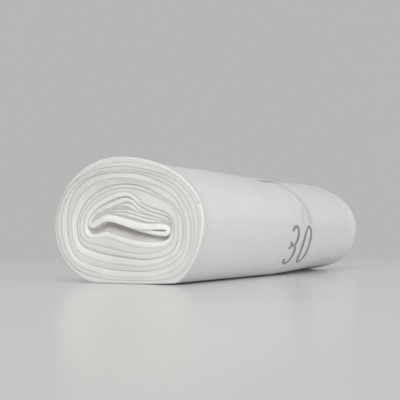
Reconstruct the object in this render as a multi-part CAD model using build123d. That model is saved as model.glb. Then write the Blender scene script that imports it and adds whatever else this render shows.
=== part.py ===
from build123d import *
import os

# Coreless roll of bin bags: one web of folded film wound on itself, lying on its side.
# X is across the roll, Y along its axis and Z up. The roll rests on its flat spot at Z = 0.

# Driving sizes, mm
roll_length = 252.0  # along the axis, the width of the folded bag
roll_width = 87.0  # across the roll, lying slack
roll_height = 64.0  # floor to crown
web = 1.9  # one layer of the winding
web_gap = 0.4  # slack between neighbouring layers
tail_thickness = 0.5  # free edge of the last bag, on the +X flank
heart_height = 16.5  # hollow left round the fold at the heart
fold_slit = 0.9  # between the two legs of the folded start

half_width = roll_width / 2
mid_height = roll_height / 2
pitch = web + web_gap
turns = int((mid_height - heart_height / 2) / pitch) + 0.5
steps_per_turn = 32


def spot(across, up):
    """A place in the section, as shares of the half width and of the height."""
    return Vector(across * half_width, up * roll_height)


# The outside of the winding. The crown sits left of the middle, and the right foot is squarer than
# the left one. Each curve leaves its ends level or plumb, so all of them run smoothly together.
tail = spot(1.0, 0.49)
crown = spot(-0.13, 1.0)
left_side = spot(-1.0, 0.44)
left_foot = spot(-0.39, 0.0)
right_foot = spot(0.62, 0.0)
outline_edges = [
    Bezier(tail, spot(1.0, 0.77), spot(0.49, 1.0), crown),
    Bezier(crown, spot(-0.62, 1.0), spot(-1.0, 0.75), left_side),
    Bezier(left_side, spot(-1.0, 0.22), spot(-0.70, 0.0), left_foot),
    Line(left_foot, right_foot),
    Bezier(right_foot, spot(0.77, 0.0), spot(1.0, 0.29), tail),
]
outline = Wire(outline_edges)
skin = [outline.position_at(i / steps_per_turn) for i in range(steps_per_turn)]


def winding_point(step, depth):
    """A point of the winding: steps counted inwards from the tail, depth below the outside."""
    at = skin[step % steps_per_turn]
    across = at.X * (half_width - depth) / half_width
    up = (at.Y - mid_height) * (mid_height - depth) / mid_height
    return Vector(across, mid_height + up)


def under_depth(step):
    return tail_thickness + pitch * step / steps_per_turn


# The last bag goes once round from the tail, so the upper side of the web starts under the tail.
last = round(turns * steps_per_turn)
settle = 6  # steps over which the winding lets go and bends into the heart
under_side = [winding_point(i, under_depth(i)) for i in range(last - settle)]
upper_side = [winding_point(i, under_depth(i) - web) for i in range(steps_per_turn, last - settle)]

# The start of the web lies folded in the heart: one leg to the right, a turn, and back in a hump.
heart_across = half_width - under_depth(last)
heart_up = heart_height / 2
leg = (web + fold_slit) / 2


def heart(across, up, shift=0.0):
    return Vector(across * heart_across, mid_height + up * heart_up + shift)


letting_go = [winding_point(i, under_depth(i) - web / 2) for i in range(last - settle, last + 1)]
fold_turn = heart(0.64, -0.22)
turn_radius = leg * 1.15
folded_start = Spline(
    *letting_go,
    heart(-0.90, -0.38),
    heart(-0.62, -0.24),
    heart(-0.20, -0.06, -leg * 0.8),
    heart(0.30, -0.12, -leg),
    *[fold_turn + Vector(turn_radius, 0).rotate(Axis.Z, angle) for angle in (-90, -45, 0, 45, 90)],
    heart(0.32, -0.08, leg),
    heart(0.02, 0.14, leg),
    heart(-0.24, 0.42, leg),
    heart(-0.48, 0.30, leg),
    heart(-0.72, 0.12, leg),
)
fold_steps = 48
for i in range(fold_steps + 1):
    here = folded_start.position_at(i / fold_steps)
    along = folded_start.tangent_at(i / fold_steps)
    aside = Vector(-along.Y, along.X) * (web / 2)
    under_side.append(here + aside)
    upper_side.append(here - aside)



def bow(first, middle, end):
    """One stretch of the web's side: an arc, or a line where it lies flat."""
    chord = end - first
    rise = abs(chord.cross(middle - first).Z) / chord.length
    if rise < 0.002:
        return Line(first, end)
    return ThreePointArc(first, middle, end)


def side(points):
    """A whole side of the web as a chain of bows, each over two steps."""
    return [bow(*points[i : i + 3]) for i in range(0, len(points) - 2, 2)]


# The closed section: the outside to just short of the tail, the small step down under it, the
# upper side of the web in to its start, and the under side back out to the tail.
before_tail = outline_edges[-1].trim(0, 0.96)
section = make_face(
    [
        *outline_edges[:-1],
        before_tail,
        Line(before_tail.position_at(1), upper_side[0]),
        *side(upper_side),
        Line(upper_side[-1], under_side[-1]),
        *side(under_side),
        Line(under_side[0], tail),
    ]
)

roll = Pos(0, roll_length / 2, 0) * Rot(90, 0, 0) * extrude(section, amount=roll_length)

os.makedirs("parts", exist_ok=True)
export_step(roll, "parts/bag_roll.step")
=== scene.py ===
import math

import bpy
import numpy as np
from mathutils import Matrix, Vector


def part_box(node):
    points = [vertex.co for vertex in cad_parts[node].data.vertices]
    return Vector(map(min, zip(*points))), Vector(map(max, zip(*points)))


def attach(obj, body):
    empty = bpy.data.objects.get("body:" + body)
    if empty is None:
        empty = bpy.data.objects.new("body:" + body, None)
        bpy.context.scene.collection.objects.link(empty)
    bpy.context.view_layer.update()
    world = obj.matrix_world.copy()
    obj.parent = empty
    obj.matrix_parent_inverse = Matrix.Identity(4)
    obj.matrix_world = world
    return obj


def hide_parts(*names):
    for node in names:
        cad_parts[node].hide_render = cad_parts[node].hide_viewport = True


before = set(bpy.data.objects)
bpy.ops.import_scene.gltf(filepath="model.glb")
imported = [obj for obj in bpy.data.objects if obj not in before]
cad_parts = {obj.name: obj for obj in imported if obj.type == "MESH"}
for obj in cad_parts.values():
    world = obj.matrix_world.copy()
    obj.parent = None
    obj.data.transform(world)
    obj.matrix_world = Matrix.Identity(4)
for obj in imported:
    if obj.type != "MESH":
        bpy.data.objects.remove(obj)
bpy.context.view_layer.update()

# --- The wound film ------------------------------------------------------------------------------
# One web of thin white polythene film, folded lengthwise and wound on itself with no core, so that
# it starts as a loose fold in the middle. It lies slack and oval on the flat spot it has settled on.

# X is across the roll, Y along it with the near end at low Y, and Z up. The section is drawn in
# millimetres, and a mesh is made in metres.

mm = 0.001
roll_low, roll_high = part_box("bag_roll")
half_width = (roll_high.x - roll_low.x) / 2 / mm
roll_height = (roll_high.z - roll_low.z) / mm
half_length = (roll_high.y - roll_low.y) / 2 / mm

heart_middle = np.array([0.0, 30.0])
compass = np.linspace(0.0, 2 * math.pi, 721)


def quarter_sweep(start, lean_out, lean_in, end, steps=90):
    """One stretch of the roll's outside, given in half widths across and heights up."""
    t = np.linspace(0, 1, steps, endpoint=False)[:, None]
    a, b, c, d = (np.array(p) * (half_width, roll_height) for p in (start, lean_out, lean_in, end))
    return a * (1 - t) ** 3 + 3 * b * (1 - t) ** 2 * t + 3 * c * (1 - t) * t**2 + d * t**3


def smooth_line(points, per_span=24, closed=False):
    """A smooth line through given points."""
    points = np.asarray(points, float)
    if closed:
        points = np.vstack([points[-1], points, points[:2]])
    else:
        points = np.vstack([2 * points[0] - points[1], points, 2 * points[-1] - points[-2]])
    share = np.linspace(0, 1, per_span, endpoint=False)[:, None]
    spans = []
    for a, b, c, d in zip(points, points[1:], points[2:], points[3:]):
        bend = 2 * a - 5 * b + 4 * c - d
        twist = -a + 3 * b - 3 * c + d
        spans.append(0.5 * (2 * b + (c - a) * share + bend * share**2 + twist * share**3))
    line = np.vstack(spans)
    return line if closed else np.vstack([line, points[-2]])


def reach(loop):
    """How far a loop lies from the heart's middle, all round the compass."""
    offset = loop - heart_middle
    angle = np.arctan2(offset[:, 1], offset[:, 0]) % (2 * math.pi)
    order = np.argsort(angle)
    return np.interp(compass, angle[order], np.hypot(*offset.T)[order], period=2 * math.pi)


# The outside of the slack roll. Its crown sits left of the middle and its right foot is squarer.
outside = np.vstack(
    [
        quarter_sweep((1.0, 0.49), (1.0, 0.77), (0.49, 1.0), (-0.13, 1.0)),
        quarter_sweep((-0.13, 1.0), (-0.62, 1.0), (-1.0, 0.75), (-1.0, 0.44)),
        quarter_sweep((-1.0, 0.44), (-1.0, 0.22), (-0.70, 0.0), (-0.39, 0.0)),
        quarter_sweep((-0.39, 0.0), (-0.05, 0.0), (0.28, 0.0), (0.62, 0.0)),
        quarter_sweep((0.62, 0.0), (0.77, 0.0), (1.0, 0.29), (1.0, 0.49)),
    ]
)

# The lines between one layer and the next, given from the outside in. The last is the wall round
# the fold at the heart.
layer_lines = [
    [
        (41.0, 31.0), (38.0, 41.5), (32.0, 48.5), (23.9, 53.4), (13.8, 56.4), (4.7, 58.4), (-3.1, 59.2),
        (-11.1, 58.9), (-19.2, 57.5), (-29.0, 53.2), (-36.8, 46.2), (-41.0, 36.5), (-41.6, 27.0),
        (-38.0, 16.0), (-32.0, 8.8), (-25.8, 5.4), (-15.5, 2.8), (-5.5, 1.8), (7.5, 1.6), (20.2, 2.0),
        (29.6, 3.8), (36.0, 10.8), (40.0, 20.5),
    ],
    [
        (38.4, 31.0), (35.6, 40.0), (30.2, 46.8), (23.9, 51.3), (13.8, 54.9), (4.7, 56.8), (-3.1, 57.4),
        (-11.1, 57.1), (-19.2, 55.6), (-28.0, 51.6), (-35.0, 44.9), (-38.9, 35.6), (-39.3, 27.0),
        (-36.0, 16.8), (-31.0, 10.8), (-26.5, 7.8), (-15.6, 4.6), (-5.5, 3.3), (7.5, 3.0), (20.2, 3.6),
        (29.6, 6.7), (35.0, 13.5), (38.2, 22.5),
    ],
    [
        (35.8, 30.0), (33.4, 38.6), (29.0, 45.0), (24.2, 48.8), (17.6, 51.6), (7.3, 54.8), (-3.1, 55.9),
        (-15.8, 55.4), (-24.0, 52.8), (-30.2, 48.6), (-33.9, 43.5), (-36.0, 37.0), (-36.4, 30.0),
        (-35.6, 23.0), (-32.8, 15.6), (-27.2, 10.9), (-12.2, 7.3), (1.0, 6.2), (13.9, 6.4), (23.4, 8.0),
        (31.4, 12.5), (34.8, 19.5),
    ],
    [
        (33.4, 30.0), (31.4, 37.0), (27.4, 42.8), (20.4, 47.4), (12.0, 50.6), (0.0, 53.0), (-10.0, 53.0),
        (-19.0, 50.8), (-26.6, 46.3), (-31.4, 39.8), (-33.6, 33.0), (-33.4, 26.0), (-31.6, 19.6),
        (-27.9, 14.8), (-15.6, 10.7), (1.0, 8.8), (13.9, 8.7), (23.4, 10.7), (30.2, 15.2), (32.9, 22.0),
    ],
    [
        (31.4, 30.0), (30.0, 35.4), (26.4, 39.9), (18.9, 44.5), (11.2, 47.7), (4.8, 49.6), (-1.8, 50.3),
        (-8.4, 49.9), (-15.8, 48.0), (-23.6, 43.3), (-28.4, 37.6), (-30.8, 31.0), (-30.5, 25.5),
        (-27.6, 18.9), (-15.6, 15.0), (1.0, 12.7), (13.9, 12.0), (23.4, 13.5), (28.6, 17.2), (31.1, 23.4),
    ],
    [
        (28.8, 30.0), (28.2, 34.6), (25.6, 38.7), (20.2, 42.1), (13.8, 44.8), (7.4, 46.9), (0.9, 48.2),
        (-5.7, 48.2), (-13.8, 46.3), (-21.9, 41.7), (-26.4, 36.8), (-28.8, 31.4), (-28.8, 26.4),
        (-26.4, 21.4), (-13.6, 18.3), (1.0, 15.5), (12.0, 14.5), (21.5, 15.4), (26.5, 19.0), (28.5, 24.5),
    ],
    [
        (26.7, 30.0), (25.8, 33.0), (23.2, 35.3), (19.3, 36.9), (12.6, 38.9), (7.7, 41.6), (3.2, 44.8),
        (-1.0, 46.3), (-6.6, 45.7), (-13.6, 43.5), (-20.2, 40.2), (-25.2, 35.2), (-27.0, 29.6),
        (-26.2, 25.0), (-23.0, 22.6), (-17.5, 22.7), (-12.8, 23.2), (-5.0, 20.9), (2.0, 19.0),
        (10.0, 17.9), (18.0, 18.2), (24.2, 20.4), (26.5, 24.5),
    ],
]
layer_loops = [smooth_line(line, closed=True) for line in layer_lines]
loop_reach = np.array([reach(loop) for loop in (outside, *layer_loops)])
turns = len(layer_lines) + 1

# The free edge: its heading on the right flank, its thickness, and how soon the web is full there.
# Each later layer steps in to the next line over the last share of its turn.
tail_angle = math.radians(2.6)
tail_film = 0.04
web_growth = 0.45
step_share = 0.2
steps_per_turn = 150


def eased(share):
    """A smooth start and a smooth stop between 0 and 1."""
    share = np.clip(share, 0, 1)
    return share * share * (3 - 2 * share)


def lap(turn):
    """Which layer line the web's under side keeps to. The first turn grows from the thin tail, and
    each later one steps in to the next line in its last share, on the right flank."""
    whole = np.floor(turn)
    stepped = whole + eased((turn - whole - (1 - step_share)) / step_share)
    growing = np.clip((turn - 0.02) / 0.98, 0, 1) ** web_growth
    return np.minimum(np.where(turn < 1, growing, stepped), len(layer_lines))


def along_lines(turn, values):
    """A value given for each layer line, followed along the winding."""
    return np.interp(lap(turn), np.arange(len(values)), values)


def under_reach(turn):
    """From the heart's middle to the web's under side, turns counted inwards from the tail."""
    angle = (tail_angle + 2 * math.pi * turn) % (2 * math.pi)
    level = lap(turn)
    line = np.clip(np.floor(level).astype(int), 0, len(layer_lines) - 1)
    share = level - line
    reaches = np.array([np.interp(angle, compass, r) for r in loop_reach])
    column = np.arange(len(turn))
    return reaches[line, column] * (1 - share) + reaches[line + 1, column] * share - tail_film


def ripple(x, seed, lowest=0.4, highest=3.0, waves=6):
    """A soft irregular wave, between about -1 and 1, the same on each run."""
    rng = np.random.default_rng(seed)
    rates = rng.uniform(lowest, highest, waves)
    starts = rng.uniform(0, 2 * math.pi, waves)
    weights = rng.uniform(0.5, 1.0, waves)
    return sum(w * np.sin(x * r + s) for r, s, w in zip(rates, starts, weights)) / weights.sum()


def facing(turn, heading, spread):
    """1 where the winding passes a heading, fading to 0 away from it."""
    off = (math.degrees(tail_angle) + 360 * turn - heading + 180) % 360 - 180
    return np.exp(-((off / spread) ** 2))


def loose(turn):
    """How far the layers are free of each other: hard pressed on the upper right."""
    return 1 - np.clip(1.3 * facing(turn, 30, 30), 0, 1)


def valley(turn):
    """How far back the line under a layer lies from the rounded edges beside it."""
    deep = along_lines(turn, [0.05, 0.25, 0.35, 1.1, 0.6, 1.7, 0.9, 0.6])
    closed_up = facing(turn, 100, 60) * np.exp(-(((turn - 4.3) / 0.45) ** 2))
    faded = 1 - 0.85 * facing(turn, 185, 60) * np.clip(3 - turn, 0, 1)
    return deep * (1 - 0.95 * closed_up) * faded * (0.85 + 0.3 * ripple(turn * 5, 31)) * loose(turn)


def ply_line(turn):
    """Depth of the finer line between the two walls of a folded layer, which comes and goes."""
    deep = along_lines(turn - 1, [0.12, 0.15, 0.2, 0.28, 0.28, 0.26, 0.2, 0.0])
    return deep * np.clip(0.65 + 0.8 * ripple(turn * 4, 52), 0.1, 1) * loose(turn)


def slack(turn):
    """Air under a layer, between it and the next one in."""
    air = along_lines(turn, [0.0, 0.0, 0.0, 0.0, 0.0, 0.16, 0.0, 0.0])
    return 0.01 + air * loose(turn) * (0.8 + 0.4 * ripple(turn * 6, 11))


def sloped_off(turn):
    """The outer layers slope back towards the outside, on the left and below."""
    return 0.4 * facing(turn, 205, 75) * np.clip(1 - turn / 3.6, 0, 1)


def set_back(turn, seed):
    """How far the middle of a layer's edge lies from the end of the roll."""
    uneven = (0.25 + 0.3 * ripple(math.pi * turn, seed)) * eased((turn - 1.2) / 2)
    dished = along_lines(turn, [0.0, 0.0, 0.1, 0.3, 0.45, 0.6, 0.9, 1.0])
    return uneven * loose(turn) + dished + sloped_off(turn)


def place(angle, distance):
    """A point of the section, from its heading and distance from the heart's middle."""
    return heart_middle + np.stack([np.cos(angle), np.sin(angle)], 1) * distance[:, None]


edge_shares = np.array(
    [0, 0.03, 0.08, 0.16, 0.26, 0.34, 0.42, 0.5, 0.58, 0.66, 0.74, 0.84, 0.92, 0.97, 1]
)


def rounded_edge(back, upper_valley, under_valley, power=2.1):
    """The set-back of points across the web's edge, from its upper to its under side."""
    upper_fall = upper_valley[:, None] * (1 - edge_shares) ** power
    return back[:, None] + upper_fall + under_valley[:, None] * edge_shares**power


def strip(upper, under, near_edge, far_edge, along_upper, along_under):
    """Rings round a length of web. Each goes along the upper side from the near end to the far
    end, over the edge, and back along the under side and over the near edge."""
    across = under - upper
    near, far = near_edge - half_length, half_length - far_edge
    places, depths = [], []
    for share in along_upper:
        places.append(upper)
        depths.append(near[:, 0] + (far[:, 0] - near[:, 0]) * share)
    for column, share in enumerate(edge_shares):
        places.append(upper + across * share)
        depths.append(far[:, column])
    for share in along_under:
        places.append(under)
        depths.append(far[:, -1] + (near[:, -1] - far[:, -1]) * share)
    for column, share in reversed(list(enumerate(edge_shares))):
        places.append(upper + across * share)
        depths.append(near[:, column])
    places, depths = np.array(places), np.array(depths)
    return np.stack([places[..., 0], depths, places[..., 1]], -1).transpose(1, 0, 2)


def settled(rings):
    """The slack of the whole roll: its body is a little leaner than its two ends, and the right
    foot has rolled clear of the floor, most at the far end."""
    x, y, z = rings[..., 0], rings[..., 1], rings[..., 2]
    near_flare = np.exp(-(((y + half_length) / 6.0) ** 2))
    far_flare = 0.6 * np.exp(-(((half_length - y) / 8.0) ** 2))
    lean = 0.022 * (1 - np.clip(near_flare + far_flare, 0, 1))
    back = eased((y + 10.0) / 130.0)
    side = np.clip((x - 6.0) / 26.0, 0, 1) ** 1.5
    low = np.clip(1 - z / 16.0, 0, 1) ** 1.2
    return np.stack([x * (1 - lean), y, z * (1 - lean) + (1.0 + 5.0 * back) * side * low], -1)


def closed_mesh(name, rings, across_uv=None, along_uv=None):
    """A closed mesh from rings, with a laid-out UV map where the finish needs one."""
    rows, columns = rings.shape[:2]
    grid = np.arange(rows * columns).reshape(rows, columns)
    turned = np.roll(grid, -1, axis=1)
    quads = np.stack([grid[:-1], turned[:-1], turned[1:], grid[1:]], -1).reshape(-1, 4)
    mesh = bpy.data.meshes.new(name)
    caps = [grid[0][::-1].tolist(), grid[-1].tolist()]
    mesh.from_pydata((rings.reshape(-1, 3) * mm).tolist(), [], quads.tolist() + caps)
    if across_uv is not None:
        layer = mesh.uv_layers.new(name="OFBake")
        u0, v0 = np.meshgrid(across_uv[:-1], along_uv[:-1])
        u1, v1 = np.meshgrid(across_uv[1:], along_uv[1:])
        corners = np.stack([u0, v0, u1, v0, u1, v1, u0, v1], -1).reshape(-1, 2)
        hidden = np.full((2 * columns, 2), 0.999)
        layer.data.foreach_set("uv", np.vstack([corners, hidden]).astype(np.float32).ravel())
    mesh.shade_smooth()
    mesh.set_sharp_from_angle(angle=math.radians(50))
    piece = bpy.data.objects.new(name, mesh)
    bpy.context.collection.objects.link(piece)
    return piece


wrap_end = 1.03
wound_turn = np.linspace(wrap_end, turns, int((turns - wrap_end) * steps_per_turn) + 1)
wound_angle = tail_angle + 2 * math.pi * wound_turn
wound_under = place(wound_angle, under_reach(wound_turn))
wound_upper = place(wound_angle, under_reach(wound_turn - 1) - slack(wound_turn - 1))

# The start of the web in the heart, each point with the web's thickness and its set-back from the
# end there. It goes over the top in a hump, down the left and back along the bottom, over again,
# then out in a thick flap to the right, round its turn, and back in a short leg.
heart_run = [
    (25.6, 32.0, 1.8, 1.6), (23.2, 34.4, 2.0, 1.5), (18.8, 36.0, 2.3, 1.4), (12.4, 37.9, 2.4, 1.3),
    (7.2, 40.6, 2.4, 1.2), (2.8, 43.8, 2.3, 1.0), (-1.2, 45.2, 2.3, 0.9), (-6.4, 44.6, 2.4, 0.9),
    (-13.0, 42.4, 2.6, 1.1), (-19.4, 39.3, 2.7, 1.4), (-23.8, 35.0, 2.7, 1.5), (-25.6, 29.8, 2.5, 1.6),
    (-24.8, 25.6, 2.4, 1.6), (-21.4, 23.6, 2.5, 1.5), (-17.0, 23.9, 2.7, 1.4), (-13.0, 24.6, 3.0, 1.3),
    (-7.0, 22.9, 3.2, 1.2), (1.0, 20.7, 3.3, 1.2), (10.0, 19.4, 3.2, 1.2), (18.4, 19.5, 2.9, 1.3),
    (23.6, 21.6, 2.4, 1.6), (25.4, 26.0, 2.0, 1.9), (24.4, 30.2, 1.8, 2.1), (21.2, 32.6, 1.9, 2.0),
    (15.6, 34.2, 1.9, 1.9), (10.2, 35.9, 2.0, 1.9), (5.9, 38.2, 2.0, 1.8), (2.4, 41.2, 2.0, 1.5),
    (-1.2, 42.3, 2.1, 1.4), (-6.0, 41.2, 2.4, 1.6), (-12.8, 39.0, 2.6, 1.8), (-19.0, 36.2, 2.6, 2.0),
    (-22.6, 32.8, 2.5, 2.0), (-22.9, 30.0, 2.5, 1.8), (-20.6, 29.6, 2.9, 1.4), (-17.4, 31.2, 3.2, 0.9),
    (-13.2, 32.9, 3.3, 0.3), (-8.0, 32.7, 3.4, 0.1), (-2.5, 31.3, 3.6, 0.0), (4.5, 29.4, 3.7, 0.0),
    (11.5, 28.5, 3.1, 0.2), (18.0, 28.6, 2.9, 0.4), (22.0, 28.1, 2.7, 0.8), (23.2, 26.6, 2.4, 1.0),
    (21.6, 25.1, 2.2, 0.9), (17.0, 25.3, 2.1, 0.7), (11.4, 26.3, 2.0, 0.8), (5.0, 27.6, 1.7, 1.1),
    (0.5, 28.8, 1.1, 1.6), (-2.5, 29.6, 0.6, 2.2),
]


def two_sides(run):
    """Upper and under side of a given length of web, and its set-back."""
    line = smooth_line(run, per_span=10)
    along = np.gradient(line[:, :2], axis=0)
    along /= np.hypot(*along.T)[:, None]
    aside = np.stack([-along[:, 1], along[:, 0]], 1) * line[:, 2:3] / 2
    return line[:, :2] - aside, line[:, :2] + aside, line[:, 3]


heart_upper, heart_under, heart_back = two_sides(heart_run)

# The flap's top is rounded off further than its foot, so that its face turns up a little.
heart_step = np.linspace(0, len(heart_run) - 1, len(heart_back))
flap_step, flap_spread = 38.5, 4.5
on_flap = np.exp(-(((heart_step - flap_step) / flap_spread) ** 4))
heart_edge = rounded_edge(heart_back, 0.85 - 0.5 * on_flap, 0.85 + 0.75 * on_flap, 2.0)

# The last rows of the winding give way to the fold, which leads on from them.
joined = 4
film_upper = np.vstack([wound_upper[:-joined], heart_upper[joined - 1 :]])
film_under = np.vstack([wound_under[:-joined], heart_under[joined - 1 :]])
film_edges = []
for seed in (21, 22):
    back = set_back(wound_turn, seed)
    wound_edge = rounded_edge(back, valley(wound_turn - 1), valley(wound_turn))
    wound_edge += ply_line(wound_turn)[:, None] * np.exp(-(((edge_shares - 0.5) / 0.13) ** 2))
    film_edges.append(np.vstack([wound_edge[:-joined], heart_edge[joined - 1 :]]))
hidden_shares = [0.03, 0.5, 0.97]
film_rings = strip(film_upper, film_under, *film_edges, hidden_shares, hidden_shares)
wound_film = closed_mesh("wound_film", settled(film_rings))
fold_row = len(wound_turn) - joined
face_row = np.arange(len(wound_film.data.polygons)) // film_rings.shape[1]


def film_edge_material(name, milky, dull, scatter):
    """Stacked film edges: milky and a touch warm, with soft tone changes and a fine grain."""
    material = bpy.data.materials.new(name)
    material.use_nodes = True
    nodes, links = material.node_tree.nodes, material.node_tree.links
    shader = nodes["Principled BSDF"]
    shader.inputs["Roughness"].default_value = 0.5
    shader.inputs["Specular IOR Level"].default_value = 0.35
    shader.inputs["Subsurface Weight"].default_value = scatter
    shader.inputs["Subsurface Radius"].default_value = (1.0, 0.95, 0.86)
    shader.inputs["Subsurface Scale"].default_value = 0.003
    where = nodes.new("ShaderNodeTexCoord")
    haze = nodes.new("ShaderNodeTexNoise")
    haze.inputs["Scale"].default_value = 45.0
    haze.inputs["Detail"].default_value = 3.0
    links.new(where.outputs["Object"], haze.inputs["Vector"])
    spread = nodes.new("ShaderNodeMapRange")
    spread.inputs["From Min"].default_value = 0.3
    spread.inputs["From Max"].default_value = 0.7
    links.new(haze.outputs["Fac"], spread.inputs["Value"])
    tint = nodes.new("ShaderNodeMix")
    tint.data_type = "RGBA"
    tint.inputs["A"].default_value = dull
    tint.inputs["B"].default_value = milky
    links.new(spread.outputs["Result"], tint.inputs["Factor"])
    links.new(tint.outputs["Result"], shader.inputs["Base Color"])
    grain = nodes.new("ShaderNodeTexNoise")
    grain.inputs["Scale"].default_value = 700.0
    grain.inputs["Detail"].default_value = 2.0
    links.new(where.outputs["Object"], grain.inputs["Vector"])
    relief = nodes.new("ShaderNodeBump")
    relief.inputs["Strength"].default_value = 0.3
    relief.inputs["Distance"].default_value = 0.0003
    links.new(grain.outputs["Fac"], relief.inputs["Height"])
    links.new(relief.outputs["Normal"], shader.inputs["Normal"])
    return material


edge_milky, edge_dull = (0.82, 0.81, 0.78, 1), (0.735, 0.722, 0.69, 1)
# The folds at the heart take a lighter copy of the same film: painted light, as on the flap that turns up
# to the lamps.
fold_painted_light_milky, fold_painted_light_dull = (0.90, 0.893, 0.875, 1), (0.82, 0.812, 0.79, 1)
edge_film = film_edge_material("stacked_film_edges", edge_milky, edge_dull, 0.5)
fold_film_painted_light = film_edge_material("folded_film_painted_light", fold_painted_light_milky, fold_painted_light_dull, 0.5)
wound_film.data.materials.append(edge_film)
wound_film.data.materials.append(fold_film_painted_light)
wound_film.data.polygons.foreach_set("material_index", (face_row >= fold_row).astype(np.int32))
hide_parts("bag_roll")
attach(wound_film, "root")

# --- The inner leaves ----------------------------------------------------------------------------
# Three loose folds of the same film that lie over the flap, where the first bags slid together.
# Nothing fixes them: the winding presses them where they are.

leaf_runs = [
    [(-19.5, 34.2, 0.7, 2.6), (-12.0, 36.3, 1.1, 2.4), (-4.0, 37.0, 1.3, 2.2), (3.0, 35.6, 1.3, 1.9),
     (10.0, 33.7, 1.1, 1.8), (17.0, 32.3, 1.0, 1.9), (22.0, 31.2, 0.6, 2.2)],
    [(-6.5, 39.4, 0.6, 2.2), (-0.5, 39.6, 1.8, 1.9), (3.5, 37.7, 1.8, 1.9), (8.5, 35.3, 0.8, 2.2)],
    [(-15.0, 35.0, 0.5, 2.4), (-4.0, 35.2, 1.3, 2.0), (3.5, 33.6, 1.4, 1.7), (11.0, 31.7, 1.3, 1.6),
     (19.0, 31.0, 0.7, 1.8)],
]
for number, leaf_run in enumerate(leaf_runs, start=1):
    leaf_upper, leaf_under, leaf_back = two_sides(leaf_run)
    leaf_valley = np.full(len(leaf_back), 0.6)
    leaf_edge = rounded_edge(leaf_back, leaf_valley, leaf_valley, 2.2)
    leaf_rings = strip(leaf_upper, leaf_under, leaf_edge, leaf_edge, hidden_shares, hidden_shares)
    leaf = closed_mesh(f"inner_leaf_{number}", settled(leaf_rings))
    # The leaves take the lighter copy of the film: painted light.
    leaf.data.materials.append(fold_film_painted_light)
    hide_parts("bag_roll")
    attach(leaf, "root")

# --- The inner fill ------------------------------------------------------------------------------
# Behind the folds the first bags fill the heart, crumpled together. The film is the same, but
# painted darker as painted shade from the folds in front, and it lies deepest just under the flap.

fill_angle = np.linspace(0, 2 * math.pi, 240, endpoint=False)
fill_gap = 0.3
fill_reach = np.interp(fill_angle, compass, loop_reach[-1]) - fill_gap
fill_grow = np.linspace(0.01, 1, 44)
fill_face = heart_middle + np.stack(
    [
        fill_grow[:, None] * fill_reach * np.cos(fill_angle),
        fill_grow[:, None] * fill_reach * np.sin(fill_angle),
    ],
    -1,
)
flap_foot = np.array(
    [
        (-24, 27.0), (-19, 27.4), (-14, 30.6), (-9, 30.4), (-3, 28.6), (4, 26.4), (12, 24.8),
        (24, 23.6),
    ]
)
under_flap = np.interp(fill_face[..., 0], *flap_foot.T) - fill_face[..., 1]
fill_back = 2.6 + 3.4 * np.exp(-((under_flap / np.where(under_flap > 0, 3.0, 0.8)) ** 2))
fill_back += 0.35 * ripple(fill_face[..., 1] + 0.35 * fill_face[..., 0], 41, 0.5, 2.2)
fill_near = np.stack([fill_face[..., 0], fill_back - half_length, fill_face[..., 1]], -1)
fill_far = np.stack([fill_face[..., 0], half_length - fill_back, fill_face[..., 1]], -1)
inner_fill = closed_mesh("inner_fill", settled(np.concatenate([fill_far, fill_near[::-1]])))
# A darker copy of the film: painted shade for the cavity behind the folds.
shaded_milky, shaded_dull = (0.70, 0.685, 0.655, 1), (0.58, 0.565, 0.535, 1)
inner_fill.data.materials.append(film_edge_material("deep_film_painted_shade", shaded_milky, shaded_dull, 0.3))
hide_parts("bag_roll")
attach(inner_fill, "root")

# --- The last bag --------------------------------------------------------------------------------
# The outermost turn of the same web: satin film with soft waves and small creases. Its free edge
# lies along the right flank, held by cling alone, and it was printed flat, before winding.

wrap_turn = np.linspace(0.0, wrap_end, 250)
wrap_angle = tail_angle + 2 * math.pi * wrap_turn
outside_reach = np.interp(wrap_angle % (2 * math.pi), compass, loop_reach[0])
tucked_gap = 0.02
tucked_reach = under_reach(np.maximum(wrap_turn - 1, 0)) - tucked_gap
tucked = np.where(wrap_turn < 1, (tail_film + tucked_gap) * eased((wrap_turn - 0.9) / 0.09), 0)
wrap_under = place(wrap_angle, under_reach(wrap_turn))
wrap_upper = place(wrap_angle, np.where(wrap_turn < 1, outside_reach - tucked, tucked_reach))
wrap_path = np.concatenate([[0], np.cumsum(np.hypot(*np.diff(wrap_upper, axis=0).T))])
wrap_thick = np.hypot(*(wrap_upper - wrap_under).T)

# The rim at each end is rounded over, and falls off again into the line under the layer.
rim = 1.0
from_rim = np.clip(rim - wrap_thick[:, None] * edge_shares, 0, None)
rim_fall = rim - np.sqrt(rim**2 - from_rim**2)
wrap_valley = valley(wrap_turn) * eased(wrap_thick / 2)
wrap_edge = sloped_off(wrap_turn)[:, None] + rim_fall + wrap_valley[:, None] * edge_shares**4
upper_columns = 171
wrap_shares = np.linspace(0, 1, upper_columns + 2)[1:-1].tolist()
under_near = [0.005, 0.01, 0.02, 0.03, 0.04, 0.055, 0.07, 0.1]
under_shares = [*under_near, 0.5, *(1 - share for share in reversed(under_near))]
wrap_rings = settled(strip(wrap_upper, wrap_under, wrap_edge, wrap_edge, wrap_shares, under_shares))

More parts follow.
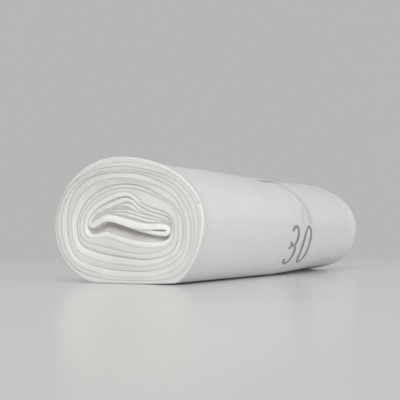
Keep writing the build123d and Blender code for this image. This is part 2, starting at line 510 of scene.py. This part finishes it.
# Soft waves in the slack film, strongest along the body and still at the ends and where it rests.
rng = np.random.default_rng(8)
skin_y = wrap_rings[:, :upper_columns, 1]
skin_path = np.repeat(wrap_path[:, None], upper_columns, 1)
waves = np.zeros_like(skin_y)
for length in (70, 52, 44, 36, 30, 24, 19, 15, 12):
    heading = rng.uniform(-0.9, 0.9)
    across, along = math.cos(heading) / length, math.sin(heading) / length
    phase = rng.uniform(0, 2 * math.pi)
    waves += (length / 70) ** 1.2 * np.sin(2 * math.pi * (skin_y * across + skin_path * along) + phase)
from_ends = np.minimum(skin_y + half_length, half_length - skin_y)
calm = np.clip(from_ends / 22, 0, 1) * np.clip(wrap_rings[:, :upper_columns, 2] / 8, 0, 1)
outward = (wrap_upper - heart_middle) / np.hypot(*(wrap_upper - heart_middle).T)[:, None]
lift = 0.14 * waves * calm * (eased(wrap_turn / 0.12) * eased((0.99 - wrap_turn) / 0.12))[:, None]
wrap_rings[:, :upper_columns, 0] += outward[:, :1] * lift
wrap_rings[:, :upper_columns, 2] += outward[:, 1:] * lift

# The outer face is laid out flat at one scale, with the ends and the under side in a narrow strip.
skin_share = 0.9
skin_mm = 2 * half_length / skin_share
hidden_columns = wrap_rings.shape[1] - upper_columns
across_uv = np.concatenate(
    [
        np.linspace(0, skin_share, upper_columns + 1),
        np.linspace(skin_share, 1, hidden_columns + 1)[1:],
    ]
)
last_bag = closed_mesh("last_bag", wrap_rings, across_uv, wrap_path / skin_mm)

film_skin = bpy.data.materials.new("satin_film")
film_skin.use_nodes = True
nodes, links = film_skin.node_tree.nodes, film_skin.node_tree.links
shader = nodes["Principled BSDF"]


def calc(operation, first, second=0.0, third=0.0, clamp=False):
    """One step of arithmetic on sockets or plain numbers."""
    node = nodes.new("ShaderNodeMath")
    node.operation = operation
    node.use_clamp = clamp
    for slot, value in zip(node.inputs, (first, second, third)):
        if isinstance(value, (int, float)):
            slot.default_value = value
        else:
            links.new(value, slot)
    return node.outputs[0]


laid_out = nodes.new("ShaderNodeUVMap")
laid_out.uv_map = "OFBake"
split = nodes.new("ShaderNodeSeparateXYZ")
links.new(laid_out.outputs["UV"], split.inputs["Vector"])
film_along = calc("MULTIPLY", split.outputs["X"], skin_mm)
film_round = calc("MULTIPLY", split.outputs["Y"], skin_mm)
tail_path = float(np.interp(1.0, wrap_turn, wrap_path))


def soft_inside(distance, blur=0.35):
    """1 where a signed distance is below zero, 0 above, with a soft edge."""
    return calc("MULTIPLY_ADD", distance, -1 / blur, 0.5, clamp=True)


def from_centre(value, centre):
    """How far a measure lies past a centre."""
    return calc("SUBTRACT", value, centre)


def oval(centre_along, centre_round, half_wide, half_tall):
    """A filled oval on the laid-out film."""
    squareness = 2.3
    a = calc("ABSOLUTE", calc("DIVIDE", from_centre(film_along, centre_along), half_wide))
    b = calc("ABSOLUTE", calc("DIVIDE", from_centre(film_round, centre_round), half_tall))
    summed = calc("ADD", calc("POWER", a, squareness), calc("POWER", b, squareness))
    around = calc("POWER", summed, 1 / squareness)
    return soft_inside(calc("MULTIPLY", from_centre(around, 1.0), half_wide))


def bowl(centre_along, centre_round, half_wide, half_tall):
    """The ink of an oval ring, broad at its sides and thin above and below."""
    hole = oval(centre_along, centre_round, half_wide - 4.2, half_tall - 2.0)
    return calc("SUBTRACT", oval(centre_along, centre_round, half_wide, half_tall), hole, clamp=True)


def patch(centre_along, centre_round, half_wide, half_tall, blur=0.35):
    """A plain rectangle on the laid-out film."""
    a = calc("SUBTRACT", calc("ABSOLUTE", from_centre(film_along, centre_along)), half_wide)
    b = calc("SUBTRACT", calc("ABSOLUTE", from_centre(film_round, centre_round)), half_tall)
    return soft_inside(calc("MAXIMUM", a, b), blur)


# The bag's size, a plain 30, stands just under the free edge.
number_top = tail_path - 0.4
number_tall = 27.0
three_along = 129.5
nought_along = 152.5
upper_bowl = bowl(three_along, number_top - number_tall * 0.26, 7.4, number_tall * 0.26)
lower_bowl = bowl(three_along, number_top - number_tall * 0.72, 8.0, number_tall * 0.28)
upper_mouth = patch(three_along - 6.0, number_top - number_tall * 0.27, 5.0, 3.2)
lower_mouth = patch(three_along - 6.0, number_top - number_tall * 0.70, 5.0, 3.4)
three = calc(
    "MAXIMUM",
    calc("SUBTRACT", upper_bowl, upper_mouth, clamp=True),
    calc("SUBTRACT", lower_bowl, lower_mouth, clamp=True),
)
nought = bowl(nought_along, number_top - number_tall / 2, 8.0, number_tall / 2)
number_ink = calc("MAXIMUM", three, nought)

# Above the edge the printing lies one film deeper and shows only faintly: a rule that runs up to
# the crown, a short one that leans into it, and the end of a line of print at the top.
long_rule_along, short_rule_along = 155.0, 138.0
rule_join, rule_end = 13.0, 39.0
leaning = calc("SUBTRACT", film_along, calc("MULTIPLY", film_round, 0.9))
off_long = calc("ABSOLUTE", from_centre(film_along, long_rule_along))
off_short = calc("ABSOLUTE", from_centre(leaning, short_rule_along))
long_rule = soft_inside(calc("SUBTRACT", off_long, 3.2), 4.0)
short_rule = soft_inside(calc("SUBTRACT", off_short, 1.6), 2.4)
below_join = soft_inside(calc("SUBTRACT", film_round, rule_join), 3.0)
below_crown = soft_inside(calc("SUBTRACT", film_round, rule_end), 3.0)
past_edge = soft_inside(calc("SUBTRACT", 0.6, film_round), 1.2)
rules = calc("MAXIMUM", long_rule, calc("MULTIPLY", short_rule, below_join))
faint_ink = calc("MULTIPLY", rules, calc("MULTIPLY", below_crown, past_edge))
crown_ink = patch(146.0, 40.5, 16.0, 1.8, 1.2)

# Ink takes a little unevenly on film.
patchy = nodes.new("ShaderNodeTexNoise")
patchy.inputs["Scale"].default_value = 260.0
patchy.inputs["Detail"].default_value = 3.0
where = nodes.new("ShaderNodeTexCoord")
links.new(where.outputs["Object"], patchy.inputs["Vector"])
ink_cover = calc("MULTIPLY_ADD", patchy.outputs["Fac"], 0.5, 0.62, clamp=True)
ink = calc(
    "ADD",
    calc("MULTIPLY", number_ink, calc("MULTIPLY", ink_cover, 0.86)),
    calc("ADD", calc("MULTIPLY", faint_ink, 0.22), calc("MULTIPLY", crown_ink, 0.75)),
    clamp=True,
)

# The film is cloudy in both its white and its sheen, with ink on it and a painted highlight
# along each crease.
cloud = nodes.new("ShaderNodeTexNoise")
cloud.inputs["Scale"].default_value = 26.0
cloud.inputs["Detail"].default_value = 3.0
links.new(where.outputs["Object"], cloud.inputs["Vector"])
satin = nodes.new("ShaderNodeMapRange")
satin.inputs["From Min"].default_value = 0.3
satin.inputs["From Max"].default_value = 0.7
satin.inputs["To Min"].default_value = 0.27
satin.inputs["To Max"].default_value = 0.46
links.new(cloud.outputs["Fac"], satin.inputs["Value"])
links.new(satin.outputs["Result"], shader.inputs["Roughness"])
milk = nodes.new("ShaderNodeMix")
milk.data_type = "RGBA"
milk.inputs["A"].default_value = (0.70, 0.703, 0.70, 1)
milk.inputs["B"].default_value = (0.775, 0.775, 0.772, 1)
links.new(cloud.outputs["Fac"], milk.inputs["Factor"])
printed = nodes.new("ShaderNodeMix")
printed.data_type = "RGBA"
printed.inputs["B"].default_value = (0.11, 0.11, 0.115, 1)
links.new(ink, printed.inputs["Factor"])
links.new(milk.outputs["Result"], printed.inputs["A"])
crease_painted_glint = nodes.new("ShaderNodeMix")
crease_painted_glint.data_type = "RGBA"
crease_painted_glint.inputs["B"].default_value = (0.93, 0.93, 0.93, 1)
links.new(printed.outputs["Result"], crease_painted_glint.inputs["A"])
links.new(crease_painted_glint.outputs["Result"], shader.inputs["Base Color"])

# Fine crinkles run along the roll, and a few longer creases cross the near half of the flank.
stretched = nodes.new("ShaderNodeMapping")
stretched.inputs["Scale"].default_value = (1.0, 0.35, 1.0)
links.new(where.outputs["Object"], stretched.inputs["Vector"])
crinkle = nodes.new("ShaderNodeTexNoise")
crinkle.inputs["Scale"].default_value = 140.0
crinkle.inputs["Detail"].default_value = 5.0
crinkle.inputs["Distortion"].default_value = 0.6
links.new(stretched.outputs["Vector"], crinkle.inputs["Vector"])


def crease(start_along, start_round, bend, slope, reach_along, half_wide):
    """A fine bowed ridge pressed into the film, which also marks where a painted highlight goes."""
    run = from_centre(film_along, start_along)
    bowed = calc("MULTIPLY_ADD", calc("MULTIPLY", run, run), bend, calc("MULTIPLY", run, slope))
    off = calc("SUBTRACT", from_centre(film_round, start_round), bowed)
    ridge = soft_inside(calc("SUBTRACT", calc("ABSOLUTE", off), half_wide), 0.9)
    ends = soft_inside(calc("SUBTRACT", calc("ABSOLUTE", run), reach_along), 5.0)
    return calc("MULTIPLY", ridge, ends)


near_pair = calc(
    "MAXIMUM",
    crease(52.0, 10.5, -0.045, -0.75, 9.0, 0.25),
    crease(60.0, 12.0, -0.05, -0.6, 7.0, 0.15),
)
creases = calc("MAXIMUM", near_pair, crease(86.0, 13.0, -0.03, -0.8, 7.0, 0.2))
# Each crease is painted lighter: a painted highlight along the ridge.
links.new(creases, crease_painted_glint.inputs["Factor"])
relief = nodes.new("ShaderNodeBump")
relief.inputs["Strength"].default_value = 0.35
relief.inputs["Distance"].default_value = 0.0013
links.new(crinkle.outputs["Fac"], relief.inputs["Height"])
pinched = nodes.new("ShaderNodeBump")
pinched.inputs["Strength"].default_value = 0.3
pinched.inputs["Distance"].default_value = 0.0009
links.new(creases, pinched.inputs["Height"])
links.new(relief.outputs["Normal"], pinched.inputs["Normal"])
links.new(pinched.outputs["Normal"], shader.inputs["Normal"])

last_bag.data.materials.append(film_skin)
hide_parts("bag_roll")
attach(last_bag, "root")

# --- Floor and backdrop --------------------------------------------------------------------------
# A plain pale glossy board, faintly smeared, that the roll rests on. It fades out all round into
# an even grey backdrop.

scene = bpy.context.scene
scene.view_settings.view_transform = "Standard"
backdrop_grey = (0.474, 0.474, 0.465, 1)
board_size = 3.0
board_mesh = bpy.data.meshes.new("floor_board")
corners = [(-1, -1), (1, -1), (1, 1), (-1, 1)]
board_mesh.from_pydata([(x * board_size, y * board_size, 0) for x, y in corners], [], [(0, 1, 2, 3)])
board = bpy.data.objects.new("floor_board", board_mesh)
bpy.context.collection.objects.link(board)
board_paint = bpy.data.materials.new("pale_gloss_board")
board_paint.use_nodes = True
nodes, links = board_paint.node_tree.nodes, board_paint.node_tree.links
shader = nodes["Principled BSDF"]
shader.inputs["Base Color"].default_value = (0.74, 0.74, 0.735, 1)
where = nodes.new("ShaderNodeTexCoord")
smears = nodes.new("ShaderNodeTexNoise")
smears.inputs["Scale"].default_value = 9.0
smears.inputs["Detail"].default_value = 3.0
links.new(where.outputs["Object"], smears.inputs["Vector"])
gloss = nodes.new("ShaderNodeMapRange")
gloss.inputs["To Min"].default_value = 0.15
gloss.inputs["To Max"].default_value = 0.22
links.new(smears.outputs["Fac"], gloss.inputs["Value"])
links.new(gloss.outputs["Result"], shader.inputs["Roughness"])
from_roll = nodes.new("ShaderNodeVectorMath")
from_roll.operation = "LENGTH"
links.new(where.outputs["Object"], from_roll.inputs[0])
fade = nodes.new("ShaderNodeMapRange")
fade.interpolation_type = "SMOOTHSTEP"
fade.inputs["From Min"].default_value = 0.22
fade.inputs["From Max"].default_value = 0.85
links.new(from_roll.outputs["Value"], fade.inputs["Value"])
clear = nodes.new("ShaderNodeBsdfTransparent")
blend = nodes.new("ShaderNodeMixShader")
links.new(fade.outputs["Result"], blend.inputs["Fac"])
links.new(shader.outputs["BSDF"], blend.inputs[1])
links.new(clear.outputs["BSDF"], blend.inputs[2])
links.new(blend.outputs["Shader"], nodes["Material Output"].inputs["Surface"])
board_mesh.materials.append(board_paint)

world = bpy.data.worlds.new("backdrop")
scene.world = world
world.use_nodes = True
world.node_tree.nodes["Background"].inputs["Color"].default_value = backdrop_grey
world.node_tree.nodes["Background"].inputs["Strength"].default_value = 1.0

# --- Light ---------------------------------------------------------------------------------------
# Three softboxes, as over a small product table: a broad one over the near end, a weak one straight
# overhead, and a low one along the flank.


def softbox(name, stand, width, height, power):
    """A rectangular lamp on a stand, turned to the middle of the roll."""
    lamp = bpy.data.lights.new(name, "AREA")
    lamp.shape = "RECTANGLE"
    lamp.size, lamp.size_y, lamp.energy = width, height, power
    box = bpy.data.objects.new(name, lamp)
    box.location = stand
    towards_roll = Vector((0, 0, 0.03)) - Vector(stand)
    box.rotation_euler = towards_roll.to_track_quat("-Z", "Y").to_euler()
    bpy.context.collection.objects.link(box)


softbox("near_softbox", (0.5, -1.5, 0.95), 1.0, 0.9, 13)
softbox("overhead_softbox", (0.0, 0.1, 1.6), 1.2, 1.2, 2)
softbox("flank_softbox", (1.5, -0.55, 0.2), 0.9, 0.6, 8)

# --- Camera --------------------------------------------------------------------------------------
# A long lens stands low, off the near right, a little below the roll's middle. It is tipped up
# slightly, so that the near end face and the right flank both show.

camera_data = bpy.data.cameras.new("camera")
camera_data.sensor_width = 36
camera_data.lens = 82
camera = bpy.data.objects.new("camera", camera_data)
camera.location = (0.2364, -half_length * mm - 0.3921, 0.0229)
heading, pitch = math.radians(26.42), math.radians(2.39)
ahead = Vector(
    (-math.sin(heading) * math.cos(pitch), math.cos(heading) * math.cos(pitch), math.sin(pitch))
)
camera.rotation_euler = ahead.to_track_quat("-Z", "Y").to_euler()
bpy.context.collection.objects.link(camera)
scene.camera = camera
